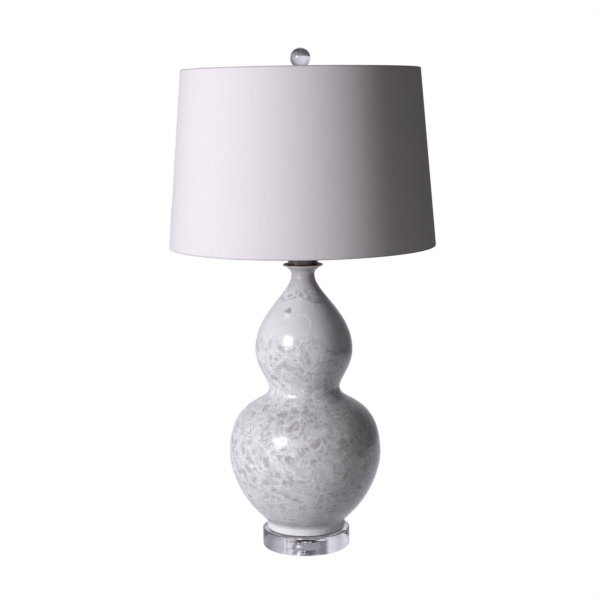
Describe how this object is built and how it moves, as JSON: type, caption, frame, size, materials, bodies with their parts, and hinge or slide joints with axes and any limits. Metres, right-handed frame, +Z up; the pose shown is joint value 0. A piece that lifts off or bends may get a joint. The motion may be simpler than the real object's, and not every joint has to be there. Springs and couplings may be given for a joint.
{
  "type": "table lamp",
  "caption": "Double gourd ceramic table lamp on a clear round base, with a turn-knob socket, a lift-off harp and a tapered drum shade held by a ball finial.",
  "frame": {"origin": "centre of the clear base's underside, on the surface that the lamp stands on", "axes": "+Z up along the lamp's axis, -Y towards the viewer and the switch knob, +X to the viewer's right"},
  "size_m": [0.4064, 0.4062, 0.7692],
  "materials": {
    "clear_acrylic": "polished clear",
    "zinc_steel": "zinc plated",
    "dark_rubber": "matte",
    "mottled_glaze": "glossy reactive glaze, mottled grey and off-white",
    "black_plastic": "satin",
    "dark_bronze": "dark antique bronze, satin",
    "harp_bronze": "antique bronze plated",
    "socket_brass": "antique brass",
    "liner_card": "plain card",
    "phenolic": "moulded",
    "contact_brass": "bright",
    "frosted_glass": "frosted white",
    "bulb_aluminium": "bright rolled",
    "black_glass": "glossy",
    "shade_fabric": "off-white woven",
    "shade_lining": "white styrene",
    "frame_wire": "white painted wire",
    "clear_crystal": "polished clear"
  },
  "bodies": {
    "base": {"acrylic_base": "clear_acrylic", "base_washer": "zinc_steel", "base_lock_washer": "zinc_steel", "base_hex_nut": "zinc_steel", "lamp_pipe": "zinc_steel", "foot_gasket": "dark_rubber", "gourd_body": "mottled_glaze", "cord_bushing": "black_plastic", "neck_gasket": "dark_rubber", "vase_cap": "dark_bronze", "cap_collar": "dark_bronze", "collar_nut": "zinc_steel", "harp_saddle": "harp_bronze", "socket_cap": "socket_brass", "socket_set_screw": "zinc_steel", "socket_shell": "socket_brass", "socket_liner": "liner_card", "switch_body": "phenolic", "terminal_screws": "contact_brass", "screw_shell": "contact_brass", "centre_contact": "contact_brass"},
    "knob": {"switch_shaft": "contact_brass", "switch_knob": "black_plastic"},
    "bulb": {"bulb_glass": "frosted_glass", "bulb_screw_base": "bulb_aluminium", "bulb_insulator": "black_glass", "bulb_tip_contact": "contact_brass"},
    "harp": {"harp_wire": "harp_bronze", "harp_clip": "harp_bronze", "harp_stud": "harp_bronze"},
    "sleeve_left": {"harp_sleeve_left": "harp_bronze"},
    "sleeve_right": {"harp_sleeve_right": "harp_bronze"},
    "shade": {"shade_fabric": "shade_fabric", "shade_liner": "shade_lining", "shade_bottom_ring": "frame_wire", "shade_top_ring": "frame_wire", "shade_spider": "frame_wire"},
    "finial": {"finial_base": "dark_bronze", "finial_ball": "clear_crystal"}
  },
  "joints": [
    {"name": "switch_knob_turn", "type": "hinge", "parent": "base", "child": "knob", "pos_m": [0, 0, 0.4874], "axis": [0, -1, 0], "continuous": true},
    {"name": "bulb_turn", "type": "hinge", "parent": "base", "child": "bulb", "pos_m": [0, 0, 0.55], "axis": [0, 0, 1], "continuous": true},
    {"name": "harp_lift", "type": "slide", "parent": "base", "child": "harp", "axis": [0, 0, 1], "range_m": [0, 0.03]},
    {"name": "sleeve_left_slide", "type": "slide", "parent": "harp", "child": "sleeve_left", "axis": [0, 0, 1], "range_m": [0, 0.0125]},
    {"name": "sleeve_right_slide", "type": "slide", "parent": "harp", "child": "sleeve_right", "axis": [0, 0, 1], "range_m": [0, 0.0125]},
    {"name": "shade_lift", "type": "slide", "parent": "harp", "child": "shade", "axis": [0, 0, 1], "range_m": [0, 0.28]},
    {"name": "finial_turn", "type": "hinge", "parent": "shade", "child": "finial", "pos_m": [0, 0, 0.735], "axis": [0, 0, 1], "continuous": true}
  ]
}
